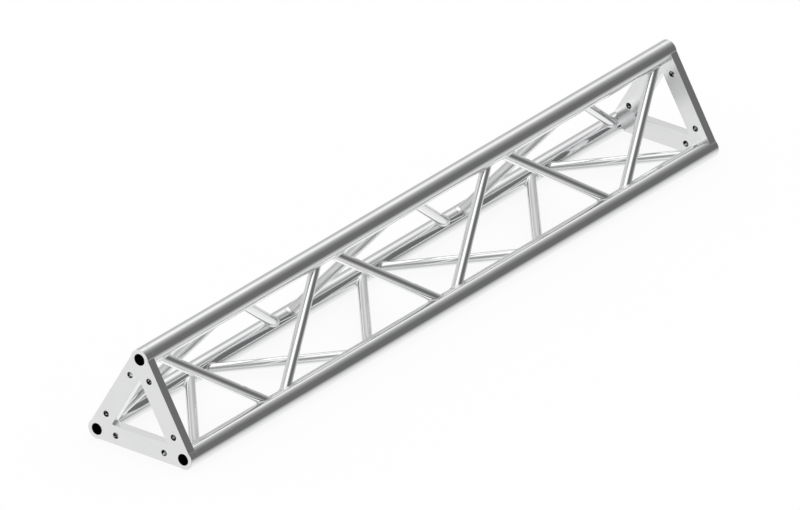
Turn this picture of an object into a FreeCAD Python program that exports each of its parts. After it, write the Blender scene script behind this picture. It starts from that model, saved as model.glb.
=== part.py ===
import FreeCAD, Part
import math
import os

# Triangular lighting truss section, all aluminium: three chord tubes on an
# equilateral triangle, a zigzag of brace tubes in each of its three faces, and
# a bolt-up plate welded across each end. Millimetres.
# +X runs along the truss from the front plate to the rear plate, +Z is up, and
# the origin is on the ground plane, midway along and across the section.

# ---- driving dimensions ----
LENGTH = 2000.0             # over both end plates
CHORD_SPACING = 250.0       # chord centre to chord centre
CHORD_RADIUS = 25.0
CHORD_WALL = 3.0
BRACE_RADIUS = 12.5
BRACE_WALL = 2.0
PLATE_THICKNESS = 23.0
PLATE_SIDE_OFFSET = 23.3    # from a chord centre line out to a plate's straight side
PLATE_WINDOW_OFFSET = 25.5  # and in to the edge of its triangular cut-out
PLATE_BORE_RADIUS = 14.5    # opens each chord tube at the plate
BOLT_HOLE_RADIUS = 7.75     # medium clearance for an M14 bolt
BOLT_HOLE_OFFSET = 55.0     # from a chord centre, along each leg
CUTOUT_CORNER_RADIUS = 2.0

BRACES_PER_FACE = 6
BRACE_PITCH = 322.5         # from one brace's start to the next one's
BRACE_RUN = 297.9           # distance a brace covers along the truss

SADDLE_GAP = 0.2            # fit-up gap between a brace's end and its chord
BRACE_WELD_LEG = 3.0
GROOVE_WELD = 2.5           # bevel on a chord's end, filled and dressed flush

# ---- values that follow ----
FRONT = -LENGTH / 2
REAR = LENGTH / 2
TRIANGLE_HEIGHT = CHORD_SPACING * math.sqrt(3) / 2
CHORD_CENTRES = {
    "top": (0.0, CHORD_RADIUS + TRIANGLE_HEIGHT),
    "left": (CHORD_SPACING / 2, CHORD_RADIUS),
    "right": (-CHORD_SPACING / 2, CHORD_RADIUS),
}
# Each face's zigzag starts and ends on the first chord of its pair.
FACES = {
    "right": ("top", "right"),
    "bottom": ("right", "left"),
    "left": ("left", "top"),
}
LATTICE_LENGTH = (BRACES_PER_FACE - 1) * BRACE_PITCH + BRACE_RUN
LATTICE_START = -LATTICE_LENGTH / 2
ALONG = FreeCAD.Vector(1, 0, 0)


def point(x, centre):
    """The point at x on the line through a (y, z) centre."""
    return FreeCAD.Vector(x, centre[0], centre[1])


def rod(start, end, radius):
    """A solid round bar between two points."""
    run = end - start
    return Part.makeCylinder(radius, run.Length, start, run)


def tube(start, end, radius, wall):
    return rod(start, end, radius).cut(rod(start, end, radius - wall))


def chord_bar(name, grow=0.0):
    """A solid bar on a chord's centre line, wider than the chord by grow."""
    centre = CHORD_CENTRES[name]
    return rod(point(FRONT, centre), point(REAR, centre), CHORD_RADIUS + grow)


# ---- chords ----
def bevel_ring(x_root, x_tip, centre):
    """The triangular ring between a chord's bevelled end and the plate's face."""
    y, z = centre
    root = FreeCAD.Vector(x_root, y, z + CHORD_RADIUS)
    foot = FreeCAD.Vector(x_root, y, z + CHORD_RADIUS - GROOVE_WELD)
    tip = FreeCAD.Vector(x_tip, y, z + CHORD_RADIUS)
    section = Part.Face(Part.makePolygon([root, foot, tip, root]))
    return section.revolve(point(0, centre), ALONG, 360)


def groove_welds(side):
    """The three dressed weld rings that join the chords to one end plate."""
    x_root = side * (REAR - PLATE_THICKNESS)
    x_tip = x_root - side * GROOVE_WELD
    return [bevel_ring(x_root, x_tip, centre) for centre in CHORD_CENTRES.values()]


def chord(name):
    centre = CHORD_CENTRES[name]
    start = point(FRONT + PLATE_THICKNESS, centre)
    end = point(REAR - PLATE_THICKNESS, centre)
    body = tube(start, end, CHORD_RADIUS, CHORD_WALL)
    for side in (-1, 1):
        x_root = side * (REAR - PLATE_THICKNESS)
        body = body.cut(bevel_ring(x_root, x_root - side * GROOVE_WELD, centre))
    return body


# ---- braces ----
def brace_ends(face, index):
    """Where a brace's centre line starts and ends, on the chords' centre lines."""
    first, second = FACES[face]
    if index % 2:
        first, second = second, first
    x = LATTICE_START + index * BRACE_PITCH
    start = point(x, CHORD_CENTRES[first])
    end = point(x + BRACE_RUN, CHORD_CENTRES[second])
    return first, start, second, end


def brace(face, index):
    """A tube with a saddle cut at each end, a welding gap away from its two chords."""
    first, start, second, end = brace_ends(face, index)
    body = tube(start, end, BRACE_RADIUS, BRACE_WALL)
    return body.cut(chord_bar(first, SADDLE_GAP)).cut(chord_bar(second, SADDLE_GAP))


def brace_weld(chord_name, start, end):
    """The bead round the foot of a brace that starts on the named chord."""
    bead = rod(start, end, BRACE_RADIUS + BRACE_WELD_LEG)
    bead = bead.cut(rod(start, end, BRACE_RADIUS))
    return bead.common(chord_bar(chord_name, BRACE_WELD_LEG)).cut(chord_bar(chord_name))


def brace_welds():
    """Every brace's two beads, grouped by the chord that they are on."""
    beads = {name: [] for name in CHORD_CENTRES}
    for face in FACES:
        for index in range(BRACES_PER_FACE):
            first, start, second, end = brace_ends(face, index)
            middle = (start + end) * 0.5
            beads[first].append(brace_weld(first, start, middle))
            beads[second].append(brace_weld(second, end, middle))
    return beads


# ---- end plates ----
def unit(start, end):
    return (end - start) * (1 / (end - start).Length)


def plate_outline(corners, centroid):
    """Straight sides on the legs' outer edges, and an arc on each chord's circle."""
    reach = math.sqrt(CHORD_RADIUS ** 2 - PLATE_SIDE_OFFSET ** 2)
    arcs = []
    for i, corner in enumerate(corners):
        out = unit(centroid, corner)
        ends = []
        for neighbour in (corners[i - 1], corners[(i + 1) % 3]):
            along_leg = unit(corner, neighbour)
            across_leg = along_leg.cross(ALONG)
            if across_leg.dot(out) < 0:
                across_leg = across_leg * -1
            ends.append(corner + across_leg * PLATE_SIDE_OFFSET + along_leg * reach)
        arcs.append((ends[0], corner + out * CHORD_RADIUS, ends[1]))
    edges = []
    for i, (start, middle, end) in enumerate(arcs):
        edges.append(Part.Arc(start, middle, end).toShape())
        edges.append(Part.makeLine(end, arcs[(i + 1) % 3][0]))
    return Part.Face(Part.Wire(edges))


def cutout(corners, centroid, depth):
    """The triangular prism inside the legs, with milled corners."""
    inset = 2 * PLATE_WINDOW_OFFSET     # a 60 degree corner doubles the offset
    tips = [corner + unit(corner, centroid) * inset for corner in corners]
    prism = Part.Face(Part.makePolygon(tips + tips[:1])).extrude(depth)
    upright = [e for e in prism.Edges if abs(unit(*[v.Point for v in e.Vertexes]).x) > 0.99]
    return prism.makeFillet(CUTOUT_CORNER_RADIUS, upright)


def hole_centres(corners):
    """Two bolt holes on each leg, at the same distance from its two corners."""
    for i, corner in enumerate(corners):
        neighbour = corners[(i + 1) % 3]
        yield corner + unit(corner, neighbour) * BOLT_HOLE_OFFSET
        yield neighbour + unit(neighbour, corner) * BOLT_HOLE_OFFSET


def end_plate(x):
    """The plate whose lower-X face is at x."""
    corners = [point(x, centre) for centre in CHORD_CENTRES.values()]
    centroid = (corners[0] + corners[1] + corners[2]) * (1 / 3)
    depth = ALONG * PLATE_THICKNESS
    plate = plate_outline(corners, centroid).extrude(depth)
    plate = plate.cut(cutout(corners, centroid, depth))
    for corner in corners:
        plate = plate.cut(rod(corner, corner + depth, PLATE_BORE_RADIUS))
    for centre in hole_centres(corners):
        plate = plate.cut(rod(centre, centre + depth, BOLT_HOLE_RADIUS))
    return plate


# ---- the nodes ----
def build():
    nodes = {}
    for name in CHORD_CENTRES:
        nodes[f"{name}_chord"] = chord(name)
    for face in FACES:
        for index in range(BRACES_PER_FACE):
            nodes[f"{face}_brace_{index + 1}"] = brace(face, index)
    for name, beads in brace_welds().items():
        nodes[f"{name}_chord_brace_welds"] = Part.makeCompound(beads)
    nodes["front_end_plate"] = end_plate(FRONT)
    nodes["rear_end_plate"] = end_plate(REAR - PLATE_THICKNESS)
    nodes["front_plate_welds"] = Part.makeCompound(groove_welds(-1))
    nodes["rear_plate_welds"] = Part.makeCompound(groove_welds(1))
    return nodes


os.makedirs("parts", exist_ok=True)
for node, shape in build().items():
    shape.exportStep(f"parts/{node}.step")
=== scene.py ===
import math
import random

import bpy
from mathutils import Matrix, Vector
from mathutils.geometry import tessellate_polygon


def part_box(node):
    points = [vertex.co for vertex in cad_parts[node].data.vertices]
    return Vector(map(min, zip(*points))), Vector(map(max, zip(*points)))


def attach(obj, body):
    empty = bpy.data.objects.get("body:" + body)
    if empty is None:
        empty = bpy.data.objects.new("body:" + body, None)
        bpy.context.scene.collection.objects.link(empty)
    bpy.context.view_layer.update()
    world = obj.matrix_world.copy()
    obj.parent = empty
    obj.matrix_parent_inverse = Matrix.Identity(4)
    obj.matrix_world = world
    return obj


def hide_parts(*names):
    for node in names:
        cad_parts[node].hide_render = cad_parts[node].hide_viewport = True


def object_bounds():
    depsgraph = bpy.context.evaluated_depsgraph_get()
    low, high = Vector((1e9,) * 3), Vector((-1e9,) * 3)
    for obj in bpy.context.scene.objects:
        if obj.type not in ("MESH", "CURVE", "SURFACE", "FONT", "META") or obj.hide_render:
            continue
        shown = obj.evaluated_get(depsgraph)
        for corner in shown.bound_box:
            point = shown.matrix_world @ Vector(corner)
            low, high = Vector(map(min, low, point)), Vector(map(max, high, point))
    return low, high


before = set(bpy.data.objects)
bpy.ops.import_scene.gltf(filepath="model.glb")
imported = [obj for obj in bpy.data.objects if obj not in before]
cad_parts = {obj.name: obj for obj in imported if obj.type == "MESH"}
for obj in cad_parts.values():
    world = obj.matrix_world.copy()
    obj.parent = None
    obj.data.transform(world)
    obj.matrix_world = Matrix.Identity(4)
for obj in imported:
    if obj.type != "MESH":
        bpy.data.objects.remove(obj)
cad_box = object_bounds()

# A triangular lighting truss section in aluminium. Metres, +X along the truss,
# +Z up, and the floor at z = 0. Places come from the CAD nodes' boxes.

# ---- sizes that a box can't give ----
CHORD_WALL = 0.003
BRACE_RADIUS = 0.0125
BRACE_WALL = 0.002
BRACE_RUN = 0.2979             # distance a brace covers along the truss
PLATE_SIDE_OFFSET = 0.0233     # from a chord centre line out to a plate's straight side
PLATE_WINDOW_OFFSET = 0.0255   # and in to the edge of its triangular cut-out
PLATE_BORE_RADIUS = 0.0145
BOLT_HOLE_RADIUS = 0.00775
BOLT_HOLE_OFFSET = 0.055       # from a chord centre, along each leg
CUTOUT_CORNER_RADIUS = 0.002
EDGE_BREAK = 0.0006            # radius of the plates' broken edges
SADDLE_GAP = 0.0002            # fit-up gap between a brace's end and its chord
BRACE_WELD_LEG = 0.003
BEAD_HOLLOW = 2.6              # 2 makes a flat fillet, and more makes a hollow one
BEAD_WAVER = 0.07              # how much a bead's width wanders
BEAD_SINK = 0.0001             # how far a bead's toes go under the metal beside them
RIPPLE_HEIGHT = 0.00008
GROOVE_WELD = 0.0025
DRESSED_RISE = 0.00002         # how far a dressed weld stands off the tube
DRESSED_TAPER = 0.0003         # the length over which it fades into the tube

# ---- fineness ----
CHORD_SEGMENTS = 144
BRACE_SEGMENTS = 96
BORE_SEGMENTS = 96
BOLT_HOLE_SEGMENTS = 64
EDGE_STEPS = 8                 # over each broken edge
CORNER_POINTS = 49             # on each rounded corner of a plate's outline
RIPPLES_PER_WELD = 64
POINTS_PER_RIPPLE = 6
POINTS_ACROSS_BEAD = 7
WINDOW_CORNER_POINTS = 13
SHARP_ANGLE = math.radians(35)
PLATE_SHARP_ANGLE = math.radians(13)

FACES = {
    "right": ("top", "right"),
    "bottom": ("right", "left"),
    "left": ("left", "top"),
}
CHORDS = ("top", "left", "right")
ALONG = Vector((1, 0, 0))


# ---- places read from the frame ----
def chord_centre(name):
    """The (0, y, z) point that a chord's centre line passes through."""
    low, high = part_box(f"{name}_chord")
    middle = (low + high) / 2
    return Vector((0, middle.y, middle.z))


CENTRES = {name: chord_centre(name) for name in CHORDS}
CENTROID = sum(CENTRES.values(), Vector()) / 3
CHORD_RADIUS = CENTRES["left"].z - cad_box[0].z
CHORD_SPACING = (CENTRES["left"] - CENTRES["right"]).length
BRACE_LENGTH = math.hypot(BRACE_RUN, CHORD_SPACING)
BRACE_SIN = BRACE_RUN / BRACE_LENGTH
BRACE_COS = CHORD_SPACING / BRACE_LENGTH


# ---- mesh helpers ----
def loop_faces(rings, around):
    """Quads over rings of points that close both ways, as on a torus."""
    faces = []
    for i in range(rings):
        for j in range(around):
            a, b = i * around, (i + 1) % rings * around
            k = (j + 1) % around
            faces.append((a + j, a + k, b + k, b + j))
    return faces


def piece(name, vertices, faces, slot, *nodes, matrix=Matrix(), sharp=SHARP_ANGLE):
    """A smooth shaded mesh object that stands for CAD nodes and wears a slot's material."""
    mesh = bpy.data.meshes.new(name)
    mesh.from_pydata(vertices, [], faces)
    finish_mesh(mesh, sharp)
    return place(name, mesh, slot, *nodes, matrix=matrix)


def finish_mesh(mesh, sharp=SHARP_ANGLE):
    mesh.polygons.foreach_set("use_smooth", [True] * len(mesh.polygons))
    mesh.set_sharp_from_angle(angle=sharp)
    mesh.update()


def place(name, mesh, slot, *nodes, matrix=Matrix()):
    made = bpy.data.objects.new(name, mesh)
    bpy.context.scene.collection.objects.link(made)
    made.matrix_world = matrix
    if not mesh.materials:
        mesh.materials.append(MATERIALS[slot])
    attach(made, "root")
    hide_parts(*nodes)
    return made


def circle(centre, radius, count):
    """Points round a (y, z) centre."""
    turns = [2 * math.pi * i / count for i in range(count)]
    return [(centre[0] + radius * math.cos(a), centre[1] + radius * math.sin(a)) for a in turns]


def lathe(profile, count):
    """Vertices of a closed (x, radius) profile turned about the local X axis."""
    return [(x, y, z) for x, radius in profile for y, z in circle((0, 0), radius, count)]


# ---- shader helpers ----
def add(tree, kind, settings=None, **sockets):
    """Adds a shader node. A socket is named with _ for a space, and takes a value or an output."""
    made = tree.nodes.new(f"ShaderNode{kind}")
    for name, value in (settings or {}).items():
        setattr(made, name, value)
    for name, value in sockets.items():
        socket = made.inputs[int(name[1:]) if name[1:].isdigit() else name.replace("_", " ")]
        if isinstance(value, bpy.types.NodeSocket):
            tree.links.new(value, socket)
        else:
            socket.default_value = value
    return made


def arithmetic(tree, operation, a, b):
    return add(tree, "Math", {"operation": operation}, _0=a, _1=b).outputs[0]


def remap(tree, value, low, high, to_low, to_high):
    """Takes low..high to to_low..to_high, and holds at both ends."""
    made = add(tree, "MapRange", None, Value=value, From_Min=low, From_Max=high,
               To_Min=to_low, To_Max=to_high)
    return made.outputs["Result"]


def noise(tree, where, stretch, detail=2.0, turn=(0, 0, 0)):
    """Noise whose cells are 1 / stretch metres long on each axis, turned in radians."""
    mapped = add(tree, "Mapping", None, Vector=where, Rotation=turn, Scale=stretch)
    made = add(tree, "TexNoise", None, Vector=mapped.outputs[0], Scale=1.0, Detail=detail)
    return made.outputs[0]


def new_material(name):
    material = bpy.data.materials.new(name)
    material.use_nodes = True
    tree = material.node_tree
    tree.nodes.clear()
    shader = add(tree, "BsdfPrincipled", None, Metallic=1.0)
    output = add(tree, "OutputMaterial")
    tree.links.new(shader.outputs[0], output.inputs["Surface"])
    where = add(tree, "TexCoord").outputs["Object"]
    return material, tree, shader, where


def tint(tree, amount, dark, light):
    """A colour from dark to light, by an amount from 0 to 1."""
    made = add(tree, "Mix", {"data_type": "RGBA"}, Factor=amount)
    made.inputs[6].default_value = (*dark, 1)
    made.inputs[7].default_value = (*light, 1)
    return made.outputs[2]


def relief(tree, *layers):
    """A normal from (height, depth in metres) layers, one bump on the next."""
    normal = None
    for height, depth in layers:
        bump = add(tree, "Bump", None, Height=height, Distance=depth, Strength=1.0)
        if normal:
            tree.links.new(normal, bump.inputs["Normal"])
        normal = bump.outputs[0]
    return normal


# ---- materials ----
SCUFF_ROUGHNESS = 0.12      # added to a surface's roughness where it is scuffed or marked


def drawn_tube(name, roughness):
    """Bright extruded tube: die lines along it, soft bands, faint scuffs and clouding."""
    material, tree, shader, where = new_material(name)
    lines = noise(tree, where, (2, 1500, 1500))
    bands = noise(tree, where, (0.8, 160, 160))
    clouds = noise(tree, where, (9, 25, 25), detail=4)
    scuffs = noise(tree, where, (900, 45, 45), turn=(0, 0.4, 0.5))
    scuffed = remap(tree, scuffs, 0.66, 0.76, 0, 1)
    cloudy = remap(tree, clouds, 0.3, 0.7, 0, 1)
    colour = tint(tree, cloudy, (0.86, 0.865, 0.875), (0.91, 0.912, 0.915))
    rough = remap(tree, bands, 0.3, 0.7, roughness * 0.8, roughness * 1.3)
    scuffed = arithmetic(tree, "MULTIPLY", scuffed, SCUFF_ROUGHNESS)
    rough = arithmetic(tree, "ADD", rough, scuffed)
    tree.links.new(colour, shader.inputs["Base Color"])
    tree.links.new(rough, shader.inputs["Roughness"])
    tree.links.new(relief(tree, (lines, 2e-6), (clouds, 5e-6)), shader.inputs["Normal"])
    return material


def milled_plate(name, finest, roughest):
    """Machined plate: a fine linear grain, slight clouding and small handling marks."""
    material, tree, shader, where = new_material(name)
    grain = noise(tree, where, (60, 2200, 60))
    clouds = noise(tree, where, (30, 30, 30), detail=4)
    marks = noise(tree, where, (70, 70, 900), turn=(0.6, 0, 0))
    marked = remap(tree, marks, 0.68, 0.76, 0, 1)
    cloudy = remap(tree, clouds, 0.3, 0.7, 0, 1)
    colour = tint(tree, cloudy, (0.875, 0.878, 0.882), (0.895, 0.897, 0.9))
    rough = remap(tree, grain, 0.3, 0.7, finest, roughest)
    marked = arithmetic(tree, "MULTIPLY", marked, SCUFF_ROUGHNESS)
    rough = arithmetic(tree, "ADD", rough, marked)
    tree.links.new(colour, shader.inputs["Base Color"])
    tree.links.new(rough, shader.inputs["Roughness"])
    tree.links.new(relief(tree, (grain, 1.5e-6), (clouds, 3e-6)), shader.inputs["Normal"])
    return material


def weld_metal(name, roughness):
    """As-welded aluminium: bright and a little frosty, with fine grain."""
    material, tree, shader, where = new_material(name)
    grain = noise(tree, where, (1800, 1800, 1800), detail=3)
    frost = noise(tree, where, (220, 220, 220), detail=3)
    frosted = remap(tree, frost, 0.35, 0.65, 0, 1)
    colour = tint(tree, frosted, (0.88, 0.882, 0.885), (0.94, 0.94, 0.94))
    rough = remap(tree, frost, 0.3, 0.7, roughness * 0.75, roughness * 1.3)
    tree.links.new(colour, shader.inputs["Base Color"])
    tree.links.new(rough, shader.inputs["Roughness"])
    tree.links.new(relief(tree, (grain, 4e-6)), shader.inputs["Normal"])
    return material


def ground_weld(name):
    """A weld dressed flush: fine sanding lines that run round the tube."""
    material, tree, shader, where = new_material(name)
    sanding = noise(tree, where, (3500, 60, 60))
    rough = remap(tree, sanding, 0.3, 0.7, 0.06, 0.11)
    colour = tint(tree, sanding, (0.87, 0.874, 0.88), (0.9, 0.903, 0.907))
    tree.links.new(colour, shader.inputs["Base Color"])
    tree.links.new(rough, shader.inputs["Roughness"])
    tree.links.new(relief(tree, (sanding, 2e-6)), shader.inputs["Normal"])
    return material


def bored_hole(name):
    """A drilled hole's wall: painted shade, near black, with patches of bare bright metal, and
    tool rings.
    """
    material, tree, shader, where = new_material(name)
    rings = noise(tree, where, (2600, 40, 40))
    rough = remap(tree, rings, 0.3, 0.7, 0.02, 0.05)
    # painted shade: outside these patches the wall's colour is near black, for the darkness inside
    # the hole
    bare_patches = remap(tree, noise(tree, where, (120, 170, 170)), 0.5, 0.56, 0, 1)
    colour = tint(tree, bare_patches, (0.03, 0.03, 0.032), (0.93, 0.932, 0.935))
    tree.links.new(colour, shader.inputs["Base Color"])
    tree.links.new(rough, shader.inputs["Roughness"])
    tree.links.new(relief(tree, (rings, 4e-6)), shader.inputs["Normal"])
    return material


MATERIALS = {
    "chord_tube": drawn_tube("chord_tube", 0.06),
    "brace_tube": drawn_tube("brace_tube", 0.06),
    "end_plate": milled_plate("end_plate", 0.2, 0.28),
    "weld_bead": weld_metal("weld_bead", 0.16),
    "dressed_weld": ground_weld("dressed_weld"),
}
FACE, HOLE, CORNER, EDGE = range(4)
PLATE_FINISHES = (          # in that order
    MATERIALS["end_plate"],
    bored_hole("bored_hole"),
    drawn_tube("dressed_corner", 0.06),
    milled_plate("plate_edge", 0.08, 0.12),
)


# ---- chords and the dressed welds at their ends ----
def chord(name):
    """A tube with its outer edges bevelled for the groove welds."""
    low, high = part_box(f"{name}_chord")
    length = high.x - low.x
    inner = CHORD_RADIUS - CHORD_WALL
    foot = CHORD_RADIUS - GROOVE_WELD
    profile = [
        (0, inner), (0, foot), (GROOVE_WELD, CHORD_RADIUS),
        (length - GROOVE_WELD, CHORD_RADIUS), (length, foot), (length, inner),
    ]
    matrix = Matrix.Translation((low.x, CENTRES[name].y, CENTRES[name].z))
    piece(f"{name}_chord_tube", lathe(profile, CHORD_SEGMENTS),
          loop_faces(len(profile), CHORD_SEGMENTS), "chord_tube", f"{name}_chord", matrix=matrix)


def groove_rings(end, x_root, side):
    """The three weld rings on one plate; side points from the plate to the chords."""
    foot = CHORD_RADIUS - GROOVE_WELD
    crown = CHORD_RADIUS + DRESSED_RISE
    profile = [
        (-EDGE_BREAK, foot), (-EDGE_BREAK, crown), (GROOVE_WELD, crown),
        (GROOVE_WELD + DRESSED_TAPER, CHORD_RADIUS - DRESSED_RISE),
    ]
    vertices = []
    faces = []
    for centre in CENTRES.values():
        start = len(vertices)
        for x, y, z in lathe(profile, CHORD_SEGMENTS):
            vertices.append((x_root + side * x, centre.y + y, centre.z + z))
        for face in loop_faces(len(profile), CHORD_SEGMENTS):
            faces.append([start + i for i in face])
    piece(f"{end}_plate_dressed_welds", vertices, faces, "dressed_weld", f"{end}_plate_welds")


# ---- braces and their weld beads, in a frame whose X runs along the brace ----
def brace_frame(node, first, second):
    """Local X is the centre line, from the first chord's centre line to the second's."""
    low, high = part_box(node)
    start = CENTRES[first] + ALONG * ((low.x + high.x - BRACE_RUN) / 2)
    end = CENTRES[second] + ALONG * ((low.x + high.x + BRACE_RUN) / 2)
    along = (end - start).normalized()
    across = (ALONG - along * BRACE_SIN).normalized()
    normal = along.cross(across)
    turn = Matrix((along, across, normal)).transposed().to_4x4()
    return Matrix.Translation(start) @ turn


def saddle(radius, turn, chord_radius):
    """How far along a brace a line on its surface meets a cylinder about the first chord."""
    reach = math.sqrt(chord_radius ** 2 - (radius * math.sin(turn)) ** 2)
    return (reach + radius * BRACE_SIN * math.cos(turn)) / BRACE_COS


def brace_point(radius, turn, x):
    return (x, radius * math.cos(turn), radius * math.sin(turn))


def brace_mesh():
    """The tube that all the braces share, with a saddle cut at each end."""
    turns = [2 * math.pi * i / BRACE_SEGMENTS for i in range(BRACE_SEGMENTS)]
    seat = CHORD_RADIUS + SADDLE_GAP
    square = saddle(BRACE_RADIUS, 0, seat) + 0.001      # just past the saddle's furthest point
    inner = BRACE_RADIUS - BRACE_WALL
    rings = []
    for radius in (BRACE_RADIUS, inner):
        near = [brace_point(radius, a, saddle(radius, a, seat)) for a in turns]
        far = [
            brace_point(radius, a, BRACE_LENGTH - saddle(radius, a + math.pi, seat))
            for a in turns
        ]
        near_square = [brace_point(radius, a, square) for a in turns]
        far_square = [brace_point(radius, a, BRACE_LENGTH - square) for a in turns]
        run = [near, near_square, far_square, far]
        rings += run if radius == BRACE_RADIUS else run[::-1]
    mesh = bpy.data.meshes.new("brace_tube")
    vertices = [corner for ring in rings for corner in ring]
    mesh.from_pydata(vertices, [], loop_faces(len(rings), BRACE_SEGMENTS))
    finish_mesh(mesh)
    return mesh


def bead(chance):
    """A rippled fillet bead round a brace's foot, as (vertices, faces) in the brace's frame."""
    around = RIPPLES_PER_WELD * POINTS_PER_RIPPLE
    phases = [chance.uniform(0, 2 * math.pi) for _ in range(3)]
    vertices = []
    for i in range(around):
        turn = 2 * math.pi * i / around
        waver = sum(math.sin(turn * (n + 2) + phase) for n, phase in enumerate(phases)) / 3
        leg = BRACE_WELD_LEG * (1 + BEAD_WAVER * waver)
        vertices.append(bead_point(turn, -4 * BEAD_SINK, -4 * BEAD_SINK))
        for step in range(POINTS_ACROSS_BEAD):
            lean = math.pi / 2 * step / (POINTS_ACROSS_BEAD - 1)
            middle = math.sin(2 * lean)     # 0 at the bead's toes, 1 half way across
            phase = 2 * math.pi * i / POINTS_PER_RIPPLE + 1.5 * middle + 0.5 * waver
            ripple = math.sin(phase) + 0.35 * math.sin(2 * phase)
            lift = RIPPLE_HEIGHT * middle * ripple - BEAD_SINK
            out = leg * math.sin(lean) ** BEAD_HOLLOW + lift
            up = leg * math.cos(lean) ** BEAD_HOLLOW + lift
            vertices.append(bead_point(turn, out, up))
    return vertices, loop_faces(around, POINTS_ACROSS_BEAD + 1)


def bead_point(turn, out, up):
    """The point that far out from the brace's surface and up from the chord's."""
    radius = BRACE_RADIUS + out
    return Vector(brace_point(radius, turn, saddle(radius, turn, CHORD_RADIUS + up)))


def braces():
    """Places every brace, and returns the frame of each brace's foot on each chord."""
    mesh = brace_mesh()
    feet = {name: [] for name in CHORDS}
    half_turn = Matrix.Rotation(math.pi, 4, "Z")
    other_end = Matrix.Translation((BRACE_LENGTH, 0, 0)) @ half_turn
    for face, pair in FACES.items():
        nodes = sorted(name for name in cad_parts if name.startswith(f"{face}_brace_"))
        for number, node in enumerate(nodes):
            first, second = pair if number % 2 == 0 else pair[::-1]
            matrix = brace_frame(node, first, second)
            place(f"{node}_tube", mesh, "brace_tube", node, matrix=matrix)
            feet[first].append(matrix)
            feet[second].append(matrix @ other_end)
    return feet


def brace_beads(feet):
    chance = random.Random(7)
    for name, matrices in feet.items():
        vertices = []
        faces = []
        for matrix in matrices:
            points, quads = bead(chance)
            start = len(vertices)
            vertices += [matrix @ point for point in points]
            faces += [[start + i for i in quad] for quad in quads]
        node = f"{name}_chord_brace_welds"
        piece(f"{name}_chord_weld_beads", vertices, faces, "weld_bead", node)


# ---- end plates ----
def flat(vector):
    """The (y, z) part of a vector."""
    return Vector((vector.y, vector.z))


def arc(centre, radius, start, end, count):
    """Points on an arc between two directions, given as angles."""
    angles = [start + (end - start) * i / (count - 1) for i in range(count)]
    return [(centre[0] + radius * math.cos(a), centre[1] + radius * math.sin(a)) for a in angles]


def rounded_triangle(corners, radius, half_sweep, count):
    """A loop with an arc of that radius round each corner point."""
    middle = flat(CENTROID)
    loop = []
    for corner in sorted(corners, key=lambda c: math.atan2(*(c - middle).yx)):
        out = math.atan2(*(corner - middle).yx)
        loop += arc(corner, radius, out - half_sweep, out + half_sweep, count)
    return loop


def outline(cut):
    """The plate's edge, with that much cut off: sides on the legs, arcs on the chords' circles."""
    radius = CHORD_RADIUS - cut
    half_sweep = math.radians(60) + math.acos((PLATE_SIDE_OFFSET - cut) / radius)
    return rounded_triangle([flat(c) for c in CENTRES.values()], radius, half_sweep, CORNER_POINTS)


def window(cut):
    """The triangular cut-out's edge, opened by that much."""
    inset = 2 * (PLATE_WINDOW_OFFSET + CUTOUT_CORNER_RADIUS)
    corners = [flat(c + (CENTROID - c).normalized() * inset) for c in CENTRES.values()]
    radius = CUTOUT_CORNER_RADIUS + cut
    return rounded_triangle(corners, radius, math.radians(60), WINDOW_CORNER_POINTS)


def bolt_centres():
    corners = [flat(c) for c in CENTRES.values()]
    for i, corner in enumerate(corners):
        leg = (corners[(i + 1) % 3] - corner).normalized() * BOLT_HOLE_OFFSET
        yield corner + leg
        yield corners[(i + 1) % 3] - leg


def plate_loops(cut):
    """Every edge loop of the plate's face, with its edges opened by that much."""
    loops = [outline(cut), window(cut)]
    loops += [circle(flat(c), PLATE_BORE_RADIUS + cut, BORE_SEGMENTS) for c in CENTRES.values()]
    loops += [circle(c, BOLT_HOLE_RADIUS + cut, BOLT_HOLE_SEGMENTS) for c in bolt_centres()]
    return loops


def edge_stations(thickness):
    """(x, cut) from the front face over a rounded edge, to the rear face's rounded edge."""
    leans = [math.pi / 2 * i / EDGE_STEPS for i in range(EDGE_STEPS + 1)]
    front = [(EDGE_BREAK * (1 - math.cos(a)), EDGE_BREAK * (1 - math.sin(a))) for a in leans]
    return front + [(thickness - x, cut) for x, cut in reversed(front)]


def plate_finishes(sizes):
    """A finish for each face of the plate's edges and holes, in the order that they are made."""
    rims = ([CORNER] * (CORNER_POINTS - 1) + [EDGE]) * 3 + [EDGE] * sizes[1]
    hole_points = sum(sizes[2:])
    broken_edge = rims + [EDGE] * hole_points
    wall = rims + [HOLE] * hole_points
    return broken_edge * EDGE_STEPS + wall + broken_edge * EDGE_STEPS


def end_plate(end):
    """A plate with its edges broken, its window, its three bores and its bolt holes."""
    low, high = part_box(f"{end}_end_plate")
    stations = edge_stations(high.x - low.x)
    vertices = []
    starts = []
    for x, cut in stations:
        starts.append(len(vertices))
        for loop in plate_loops(cut):
            vertices += [(x, y, z) for y, z in loop]
    per_station = starts[1]
    sizes = [len(loop) for loop in plate_loops(0)]
    faces = []
    for start in starts[:-1]:
        first = start
        for size in sizes:
            for i in range(size):
                a, b = first + i, first + (i + 1) % size
                faces.append((a, b, b + per_station, a + per_station))
            first += size
    rims = [[Vector((y, z, 0)) for y, z in loop] for loop in plate_loops(stations[0][1])]
    cap = tessellate_polygon(rims)
    faces += [tuple(triangle) for triangle in cap]
    faces += [tuple(i + starts[-1] for i in triangle) for triangle in cap]
    matrix = Matrix.Translation((low.x, 0, 0))
    plate = piece(f"{end}_end_plate_body", vertices, faces, "end_plate", f"{end}_end_plate",
                  matrix=matrix, sharp=PLATE_SHARP_ANGLE)
    for material in PLATE_FINISHES[FACE + 1:]:
        plate.data.materials.append(material)
    for polygon, finish in zip(plate.data.polygons, plate_finishes(sizes)):
        polygon.material_index = finish
    weighted = plate.modifiers.new("weighted_normals", "WEIGHTED_NORMAL")
    weighted.keep_sharp = True


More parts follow.
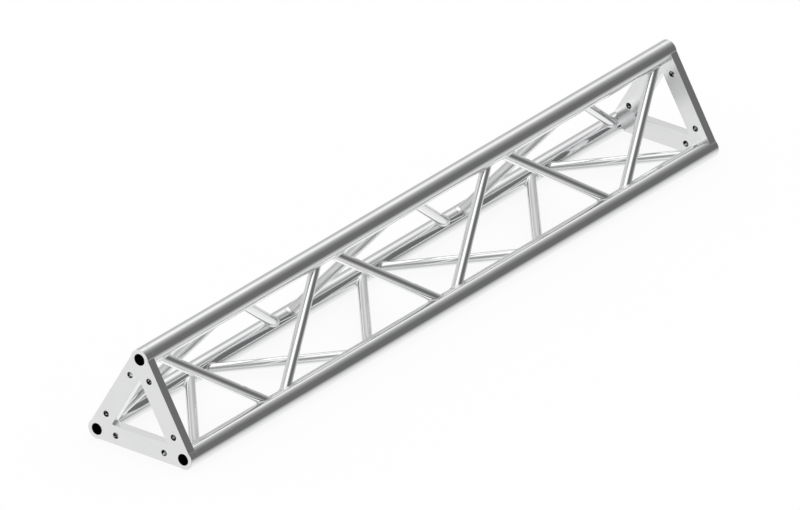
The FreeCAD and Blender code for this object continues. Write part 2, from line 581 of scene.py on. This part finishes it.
# ---- the studio ----
PALE = 1.0            # the floor and the backdrop
SIDES = 0.58          # how bright the studio is at the horizon
CEILING = 0.29        # straight up, before the softboxes
GROUND = 1.1          # straight down
DARKEST = 0.158
PANELS = [            # azimuth from +X, elevation, spread in degrees, and brightness
    (40, 50, 19.5, 1.2),        # key softbox, high on the far side
    (-126, 84, 26.5, 1.2),      # overhead softbox
    (132, 4, 34, 1.2),          # broad fill beyond the left chord
    (-146, 10, 30, 1.1),        # broad fill beside the camera
    (70, 9, 8, 0.35),           # small accent
    (-73, 16, 43, -0.53),       # black flag on the right
    (-38, -4, 11, -0.22),       # its lower corner
    (-176, -5, 50, -1.0),       # black drape beyond the front plate
]


def direction(azimuth, elevation):
    a, e = math.radians(azimuth), math.radians(elevation)
    return (math.cos(e) * math.cos(a), math.cos(e) * math.sin(a), math.sin(e))


def panel_light(tree, where, azimuth, elevation, spread, brightness):
    """A soft round pool of light, or of dark, around one direction."""
    middle = direction(azimuth, elevation)
    toward = add(tree, "VectorMath", {"operation": "DOT_PRODUCT"}, _0=where, _1=middle)
    off = arithmetic(tree, "SUBTRACT", toward.outputs["Value"], 1.0)
    scaled = arithmetic(tree, "MULTIPLY", off, 2 / math.radians(spread) ** 2)
    return arithmetic(tree, "MULTIPLY", arithmetic(tree, "EXPONENT", scaled, 0.0), brightness)


def studio_world():
    """Soft panels for the metal to reflect, even light for the floor, and a pale backdrop."""
    world = bpy.data.worlds.new("studio")
    bpy.context.scene.world = world
    world.use_nodes = True
    tree = world.node_tree
    tree.nodes.clear()
    where = add(tree, "TexCoord").outputs["Generated"]
    height = add(tree, "SeparateXYZ", None, Vector=where).outputs["Z"]
    above = remap(tree, height, 0, 1, SIDES, CEILING)
    below = remap(tree, height, -1, 0, GROUND - SIDES, 0)
    level = arithmetic(tree, "ADD", above, below)
    for panel in PANELS:
        level = arithmetic(tree, "ADD", level, panel_light(tree, where, *panel))
    level = arithmetic(tree, "MAXIMUM", level, DARKEST)
    path = add(tree, "LightPath").outputs
    plain = arithmetic(tree, "MAXIMUM", path["Is Camera Ray"], path["Is Diffuse Ray"])
    seen = remap(tree, plain, 0, 1, level, PALE)
    background = add(tree, "Background", None, Color=(1, 1, 1, 1), Strength=seen)
    output = add(tree, "OutputWorld")
    tree.links.new(background.outputs[0], output.inputs["Surface"])


def studio_floor(half_side=40.0, shadow=0.12):
    """A plain pale floor, mostly glow, so that it takes only a faint contact shadow."""
    mesh = bpy.data.meshes.new("floor")
    corners = [(-half_side, -half_side, 0), (half_side, -half_side, 0),
               (half_side, half_side, 0), (-half_side, half_side, 0)]
    mesh.from_pydata(corners, [], [(0, 1, 2, 3)])
    floor = bpy.data.objects.new("floor", mesh)
    bpy.context.scene.collection.objects.link(floor)
    floor.visible_glossy = False
    material = bpy.data.materials.new("pale_floor")
    material.use_nodes = True
    tree = material.node_tree
    tree.nodes.clear()
    glow = add(tree, "Emission", None, Color=(PALE, PALE, PALE, 1))
    matt = add(tree, "BsdfDiffuse", None, Color=(PALE, PALE, PALE, 1))
    mixed = add(tree, "MixShader", None, Fac=shadow)
    tree.links.new(glow.outputs[0], mixed.inputs[1])
    tree.links.new(matt.outputs[0], mixed.inputs[2])
    output = add(tree, "OutputMaterial")
    tree.links.new(mixed.outputs[0], output.inputs["Surface"])
    mesh.materials.append(material)


def camera(azimuth=-52.42, elevation=27.0, frame_width=1.846, lens=1000.0, sensor=36.0):
    """A long lens from far off, so that parallel edges stay nearly parallel."""
    a, e = math.radians(azimuth), math.radians(elevation)
    back = Vector((math.sin(a) * math.cos(e), -math.cos(a) * math.cos(e), math.sin(e)))
    data = bpy.data.cameras.new("camera")
    data.lens = lens
    data.sensor_width = sensor
    data.clip_end = 300
    made = bpy.data.objects.new("camera", data)
    bpy.context.scene.collection.objects.link(made)
    target = Vector((-0.0252, 0.0022, 0.115))       # what the middle of the frame looks at
    made.location = target + back * (frame_width * lens / sensor)
    made.rotation_euler = back.to_track_quat("Z", "Y").to_euler()
    bpy.context.scene.camera = made


for chord_name in CHORDS:
    chord(chord_name)
brace_beads(braces())
for plate_end in ("front", "rear"):
    end_plate(plate_end)
front_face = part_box("front_end_plate")[1].x
rear_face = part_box("rear_end_plate")[0].x
groove_rings("front", front_face, 1)
groove_rings("rear", rear_face, -1)
studio_world()
studio_floor()
camera()
bpy.context.scene.view_settings.view_transform = "Standard"
